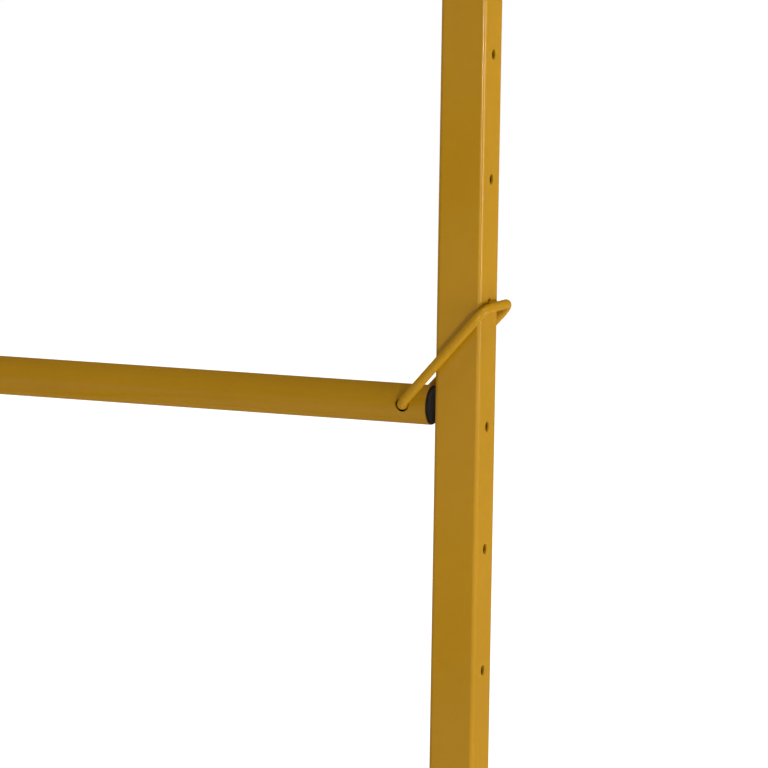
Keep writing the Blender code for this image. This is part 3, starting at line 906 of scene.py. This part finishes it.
def make_bolt(bolt, nut, axis, body):
    """A hexagon bolt with its shank and thread, and its nut."""
    centre, size = middle_of(bolt)
    length = abs(size.dot(axis))
    head = centre - axis * length / 2
    work = bmesh.new()
    hexagon(work, head, axis, BOLT_HEAD)
    shank, under_head = BOLT / 2 - 0.1 * MM, BOLT_HEAD - 0.5 * MM
    profile = [(0, under_head), (shank, under_head), (shank, length - 14 * MM)]
    profile += thread_profile(
        length - 13.6 * MM, length - 0.8 * MM, BOLT / 2 - 0.02 * MM, 3.35 * MM, 1.25 * MM
    )
    profile += [(2.9 * MM, length), (0, length)]
    turned(work, head, axis, profile, 32)
    settle(new_piece(f"{bolt}_skin", work, ZINC, 35), body, replaces=[bolt])
    centre, size = middle_of(nut)
    deep = abs(size.dot(axis))
    work = bmesh.new()
    hexagon(work, centre - axis * deep / 2, axis, deep, bore=BOLT / 2 + 0.25 * MM)
    settle(new_piece(f"{nut}_skin", work, ZINC, 35), body, replaces=[nut])


def make_screw(node, axis, body):
    """A pan-head screw with a cross recess. The axis points from head to tip."""
    centre, size = middle_of(node)
    length = abs(size.dot(axis))
    head = centre - axis * length / 2
    profile = in_mm([(0, 0), (1.5, 0.02), (3.2, 0.3), (4.3, 0.9), (4.9, 1.7)])
    profile += [(5.0 * MM, SCREW_HEAD), (2.3 * MM, SCREW_HEAD)]
    profile += thread_profile(
        SCREW_HEAD + 1 * MM, length - 5 * MM, 2.5 * MM, 1.75 * MM, 1.8 * MM
    )
    profile += [(1.4 * MM, length - 4 * MM), (0, length)]
    piece = turned_piece(f"{node}_skin", head, axis, profile, 32, ZINC, 35)
    long, thin, deep = 5.2 * MM, 1.1 * MM, 3.0 * MM
    cutters = []
    for number, arm in enumerate(axes_along(axis)):
        slot = Matrix((arm * long, axis.cross(arm) * thin, axis * deep)).transposed().to_4x4()
        slot.translation = head + axis * 0.2 * MM
        work = bmesh.new()
        bmesh.ops.create_cube(work, size=1, matrix=slot)
        cutters.append(subtract(piece, new_piece(f"recess_{number}", work, ZINC)))
    bake(piece, cutters)
    settle(piece, body, replaces=[node])


# ---------------------------------------------------------------- saddles


def rounded_slab(name, low, high, rounding):
    """A coated plate between two corners of a box, with rounded edges."""
    matrix = Matrix.Diagonal((*(high - low), 1))
    matrix.translation = (low + high) / 2
    work = bmesh.new()
    bmesh.ops.create_cube(work, size=1, matrix=matrix)
    bmesh.ops.bevel(
        work, geom=work.edges[:], offset=rounding, segments=3, profile=0.5, affect="EDGES"
    )
    return new_piece(name, work, COAT, 50)


def make_saddle(stand):
    """The plate under the beam, with its screw holes, and the flanges below it."""
    node = f"saddle_{stand}"
    low, high = node_box(node)
    under = high.z - SADDLE_PLATE
    plate = rounded_slab(f"{node}_plate", Vector((low.x, low.y, under)), high, 0.9 * MM)
    profile = hole_profile(SCREW_HOLE / 2, chamfer=0.3 * MM)
    cutters = []
    for number, way in enumerate((1, -1)):
        spot = Vector((0, (low.y + high.y) / 2 + way * SADDLE_SCREW_Y, under))
        cutters.append(drill(plate, f"screw_{number}", spot, -Z, profile, 24))
    bake(plate, cutters)
    settle(weigh_normals(plate), "lift", replaces=[node])
    for number, way in enumerate((1, -1)):
        make_flange(node, number, way, middle_of(f"crossbar_{stand}")[0])


def make_flange(saddle, number, way, bar):
    """A flange beside the crossbar, with its bolt hole and the weld under the plate."""
    low, high = node_box(saddle)
    inner = bar.y + way * (BAR_RADIUS + CLEARANCE)
    outer = inner + way * FLANGE
    inset = 2 * MM
    top = high.z - SADDLE_PLATE + 0.5 * MM
    low_corner = Vector((low.x + inset, min(inner, outer), low.z))
    high_corner = Vector((high.x - inset, max(inner, outer), top))
    flange = rounded_slab(f"{saddle}_flange_{number}", low_corner, high_corner, 0.8 * MM)
    spot = Vector((0, outer, bar.z))
    profile = hole_profile(BOLT_HOLE / 2, chamfer=0.3 * MM)
    bake(flange, [drill(flange, "bolt", spot, Y * way, profile)])
    settle(weigh_normals(flange), "lift")
    reach, level = high_corner.x - 4 * MM, top - 0.9 * MM
    seam = [Vector((s * reach, outer + way * 0.4 * MM, level)) for s in (1, -1)]
    weld_bead(f"{saddle}_weld_{number}", seam, "lift", 1.7 * MM)


# ---------------------------------------------------------------- the beam


def cover_outline(half, top):
    """Right half of the cover's outer section, from its lower edge to the top, as (x, z)."""
    side_steps, corner_steps, top_steps = 8, 12, 6
    bulge = 0.6 * MM
    shoulder, flat = top - COVER_RADIUS, half - COVER_RADIUS
    points = []
    for i in range(side_steps + 1):
        t = i / side_steps
        points.append((half - bulge * (1 - math.sin(math.pi * t)) / 2, t * shoulder))
    for i in range(1, corner_steps + 1):
        angle = math.pi / 2 * i / corner_steps
        x, z = COVER_RADIUS * math.cos(angle), COVER_RADIUS * math.sin(angle)
        points.append((flat + x, shoulder + z))
    for i in range(1, top_steps + 1):
        points.append((flat * (1 - i / top_steps), top))
    return points


def cover_stations(length):
    """Places of the cover's sections along it, closer together towards both ends."""
    ends = [edge * MM for edge in (0, 1.5, 4, 9, 18, 36)]
    plain, runs = length - 2 * ends[-1], 90
    middle = [ends[-1] + plain * i / runs for i in range(1, runs)]
    return ends + middle + [length - edge for edge in reversed(ends)]


def cover_section(half, top, along, length):
    """The cover's section at one place, right half outside first, as (x, z)."""
    pull = 0.9 * MM * math.exp(-min(along, length - along) / (7 * MM))
    ripple = 0.12 * MM * abs(math.sin(along * 31) * math.sin(along * 11 + 1))
    outer, inner = [], []
    for x, z in cover_outline(half, top):
        sag = 0.25 * MM * max(0.0, 1 - x / half) * abs(math.sin(along * 7.3))
        x = max(x - pull - ripple / 2, 0.0)
        z -= (pull + sag * 0.3) * (z / top)
        outer.append((x, z))
        thinned = COVER_THICKNESS * min(1.0, z / (top * 0.9)) ** 8
        inner.append((max(x - COVER_THICKNESS, 0.0), z - thinned))
    right = outer + [(-x, z) for x, z in reversed(outer[:-1])]
    left = [(-x, z) for x, z in inner[:-1]] + list(reversed(inner))
    return right + left


def make_cover():
    """The suede cover: a firm pad with eased edges, drawn in where it meets the end caps."""
    low, high = node_box("beam_cover")
    half, top, length = high.x, high.z - low.z, high.y - low.y
    work = bmesh.new()
    loops = []
    for along in cover_stations(length):
        section = cover_section(half, top, along, length)
        loops.append([work.verts.new(Vector((x, low.y + along, low.z + z))) for x, z in section])
    bridge(work, loops)
    for loop in (loops[0], loops[-1]):
        for i in range(len(loop) // 2 - 1):
            work.faces.new((loop[i], loop[i + 1], loop[-2 - i], loop[-1 - i]))
    piece = new_piece("beam_cover_suede", work, SUEDE, 60)
    settle(piece, "lift", replaces=["beam_cover"])


def make_binding():
    """Webbing sewn along both lower edges of the cover, with its rows of stitches."""
    low, high = node_box("beam_cover")
    face, thick, tall = high.x - 0.35 * MM, 0.9 * MM, 16 * MM
    end, count = 6 * MM, 120
    for side, way in SIDES.items():
        work = bmesh.new()
        loops = []
        for i in range(count + 1):
            y = low.y + end + (high.y - low.y - 2 * end) * i / count
            top = tall + 0.15 * MM * math.sin(i * 1.7)
            section = [
                (face - 1.2 * MM, 0.6 * MM), (face + thick * 0.4, 0.6 * MM),
                (face + thick * 0.75, 1.1 * MM), (face + thick * 0.75, top - 0.6 * MM),
                (face + thick * 0.3, top), (face - 1.2 * MM, top),
            ]
            loops.append([work.verts.new(Vector((way * x, y, low.z + z))) for x, z in section])
        loft(work, loops)
        settle(new_piece(f"cover_binding_{side}", work, TAPE, 50), "lift")
        for row, height in (("lower", 3.6 * MM), ("upper", 13.0 * MM)):
            make_stitches(f"stitches_{side}_{row}", way, face + thick * 0.72, height)


def make_stitches(name, way, face, height):
    """One row of lock stitches: short threads that dip into the webbing at each end."""
    low, high = node_box("beam_cover")
    pitch, gap, thick, end = 4.2 * MM, 0.7 * MM, 0.38 * MM, 8 * MM
    steps = 4
    work = bmesh.new()
    for i in range(int((high.y - low.y - 2 * end) / pitch)):
        start = low.y + end + i * pitch + gap / 2
        points, radii = [], []
        for k in range(steps + 1):
            t = k / steps
            rise = math.sin(math.pi * t)
            x = way * (face - 0.45 * MM * (1 - rise))
            points.append(Vector((x, start + (pitch - gap) * t, low.z + height)))
            radii.append(thick * (0.75 + 0.25 * rise))
        sweep(work, points, radii, 5)
    settle(new_piece(name, work, THREAD, 80), "lift")


def make_end_cap(stand):
    """The moulded plate on the beam's end: rounded rim, shallow panel and screw holes."""
    node = f"end_cap_{stand}"
    centre, size = middle_of(node)
    way = STANDS[stand]
    inside = centre - Y * way * size.y / 2
    deep = size.y / MM
    sections = [  # distance from the beam, inset and corner radius, in millimetres
        (0, 0.0, 12.0), (deep - 1.8, 0.0, 12.0), (deep - 0.9, 0.35, 11.8),
        (deep - 0.25, 1.1, 11.4), (deep, 2.4, 11.0), (deep, 6.5, 8.0),
        (deep - 0.35, 7.0, 7.6), (deep - 1.1, 7.4, 7.2),
    ]
    work = bmesh.new()
    loops = []
    for along, inset, radius in sections:
        wide, tall = size.x - 2 * inset * MM, size.z - 2 * inset * MM
        outline = rounded_rectangle(wide, tall, radius * MM)
        loops.append(ring_of(work, inside + Y * way * along * MM, X, Z, outline))
    loft(work, loops)
    piece = new_piece(f"{node}_skin", work, PLASTIC, 50)
    face = centre.y + way * size.y / 2
    profile = hole_profile(SCREW_HOLE / 2, chamfer=0.3 * MM)
    cutters = []
    for number, level in enumerate(LEVELS):
        screw = middle_of(f"end_screw_{stand}_{level}")[0]
        spot = Vector((screw.x, face, screw.z))
        cutters.append(drill(piece, f"screw_{number}", spot, Y * way, profile, 24))
    bake(piece, cutters)
    for level in LEVELS:
        make_boss(stand, level, face)
    settle(weigh_normals(piece), "lift", replaces=[node])


def make_boss(stand, level, face):
    """A raised ring round a screw of an end cap, flush with its rim."""
    screw = middle_of(f"end_screw_{stand}_{level}")[0]
    profile = in_mm(
        [(3.0, -1.3), (8.2, -1.3), (7.8, -0.3), (7.2, 0), (3.4, 0), (3.0, -0.3), (3.0, -1.3)]
    )
    work = bmesh.new()
    turned(work, Vector((screw.x, face, screw.z)), Y * STANDS[stand], profile, 40)
    bmesh.ops.remove_doubles(work, verts=work.verts, dist=1e-6)
    settle(new_piece(f"end_cap_{stand}_boss_{level}", work, PLASTIC, 50), "lift")


def dress_nodes():
    """Procedural finishes on the CAD nodes whose own shape is shown."""
    for node, material in (("beam_core", TIMBER), ("beam_foam", FOAM)):
        materials = frame["nodes"][node].data.materials
        materials.clear()
        materials.append(material)


# ---------------------------------------------------------------- studio


def add_to_scene(name, data):
    """An object for a lamp or camera."""
    made = bpy.data.objects.new(name, data)
    bpy.context.scene.collection.objects.link(made)
    return made


def make_camera():
    """The camera, from outside the far stand's right upright, a little above the crossbar."""
    yaw, pitch, roll = (math.radians(a) for a in (CAMERA_YAW, CAMERA_PITCH, CAMERA_ROLL))
    level = Vector((-math.sin(yaw), math.cos(yaw), 0))
    forward = level * math.cos(pitch) - Z * math.sin(pitch)
    right = Vector((math.cos(yaw), math.sin(yaw), 0))
    up = right.cross(forward)
    across = right * math.cos(roll) + up * math.sin(roll)
    upward = -right * math.sin(roll) + up * math.cos(roll)
    data = bpy.data.cameras.new("camera")
    data.lens = CAMERA_LENS
    data.sensor_width = 36
    data.clip_end = 200
    camera = add_to_scene("camera", data)
    matrix = Matrix((across, upward, -forward)).transposed().to_4x4()
    matrix.translation = CORNER_POST + CAMERA_PLACE
    camera.matrix_world = matrix
    bpy.context.scene.camera = camera


def point_lamp(lamp, direction):
    """Turn a lamp so that it shines along a direction."""
    lamp.rotation_mode = "QUATERNION"
    lamp.rotation_quaternion = direction.to_track_quat("-Z", "Y")


def make_sun():
    """A broad overhead light, the same over the whole floor, for soft shadows underneath."""
    data = bpy.data.lights.new("overhead", "SUN")
    data.energy = OVERHEAD
    data.angle = math.radians(OVERHEAD_SPREAD)
    point_lamp(add_to_scene("overhead", data), -OVERHEAD_FROM)


def make_light(name, toward, size, power, color):
    """A large soft light that looks at the middle of the object."""
    data = bpy.data.lights.new(name, "AREA")
    data.shape = "SQUARE"
    data.size = size
    data.energy = power
    data.color = color
    lamp = add_to_scene(name, data)
    lamp.location = LIGHT_AIM + Vector(toward).normalized() * LIGHT_DISTANCE
    point_lamp(lamp, LIGHT_AIM - lamp.location)


def seen_or_lighting(tree, seen, lighting):
    """A strength with one value where the camera sees it and another where it lights things."""
    strength = tree.nodes.new("ShaderNodeMapRange")
    strength.inputs["To Min"].default_value = lighting
    strength.inputs["To Max"].default_value = seen
    path = tree.nodes.new("ShaderNodeLightPath")
    tree.links.new(path.outputs["Is Camera Ray"], strength.inputs["Value"])
    return strength.outputs["Result"]


def make_world():
    """A dim even surround that the camera sees as a white backdrop."""
    world = bpy.data.worlds.new("studio")
    bpy.context.scene.world = world
    world.use_nodes = True
    tree = world.node_tree
    background = tree.nodes["Background"]
    background.inputs["Color"].default_value = (1, 1, 1, 1)
    tree.links.new(seen_or_lighting(tree, BACKDROP, SURROUND), background.inputs["Strength"])


def make_floor():
    """A pale matt floor that glows enough to read as white."""
    n = Nodes("studio_floor")
    shade = n.noise(0.8, 2)
    n.color(n.ramp(shade, (0.3, (0.79, 0.79, 0.79)), (0.7, (0.82, 0.82, 0.82))))
    n.roughness(n.span(shade, 0.6, 0.7))
    n.set(Specular_IOR_Level=0.1, Emission_Color=(1, 1, 1, 1))
    glow = seen_or_lighting(n.tree, FLOOR_GLOW, FLOOR_BOUNCE)
    n.link(glow, n.shader.inputs["Emission Strength"])
    work = bmesh.new()
    bmesh.ops.create_circle(work, cap_ends=True, segments=96, radius=FLOOR_RADIUS)
    new_piece("studio_floor", work, n.material)


def make_studio():
    """A pale floor, a white backdrop, an overhead light and soft lights at the sides."""
    make_world()
    make_sun()
    for name, settings in LIGHTS.items():
        make_light(name, *settings)
    make_floor()
    bpy.context.scene.view_settings.view_transform = "Standard"
    bpy.context.scene.view_settings.look = "None"


# ---------------------------------------------------------------- build

make_camera()
make_studio()
make_stands()
for stand_name in STANDS:
    make_crossbar(stand_name)
    make_saddle(stand_name)
    make_end_cap(stand_name)
    make_bolt(f"saddle_bolt_{stand_name}", f"saddle_nut_{stand_name}", Y, "lift")
    make_bolt(f"socket_bolt_{stand_name}", f"socket_nut_{stand_name}", X, "stands")
    for level_name in LEVELS:
        make_screw(f"end_screw_{stand_name}_{level_name}", -Y * STANDS[stand_name], "lift")
    for place_name in ("inner", "outer"):
        make_screw(f"saddle_screw_{stand_name}_{place_name}", Z, "lift")
    for side_name in SIDES:
        make_bail(stand_name, side_name)
        make_plug(stand_name, side_name)
        make_cap(stand_name, side_name)
        for end_name in ("outer", "inner"):
            make_shoe(stand_name, side_name, end_name)
make_cover()
make_binding()
dress_nodes()
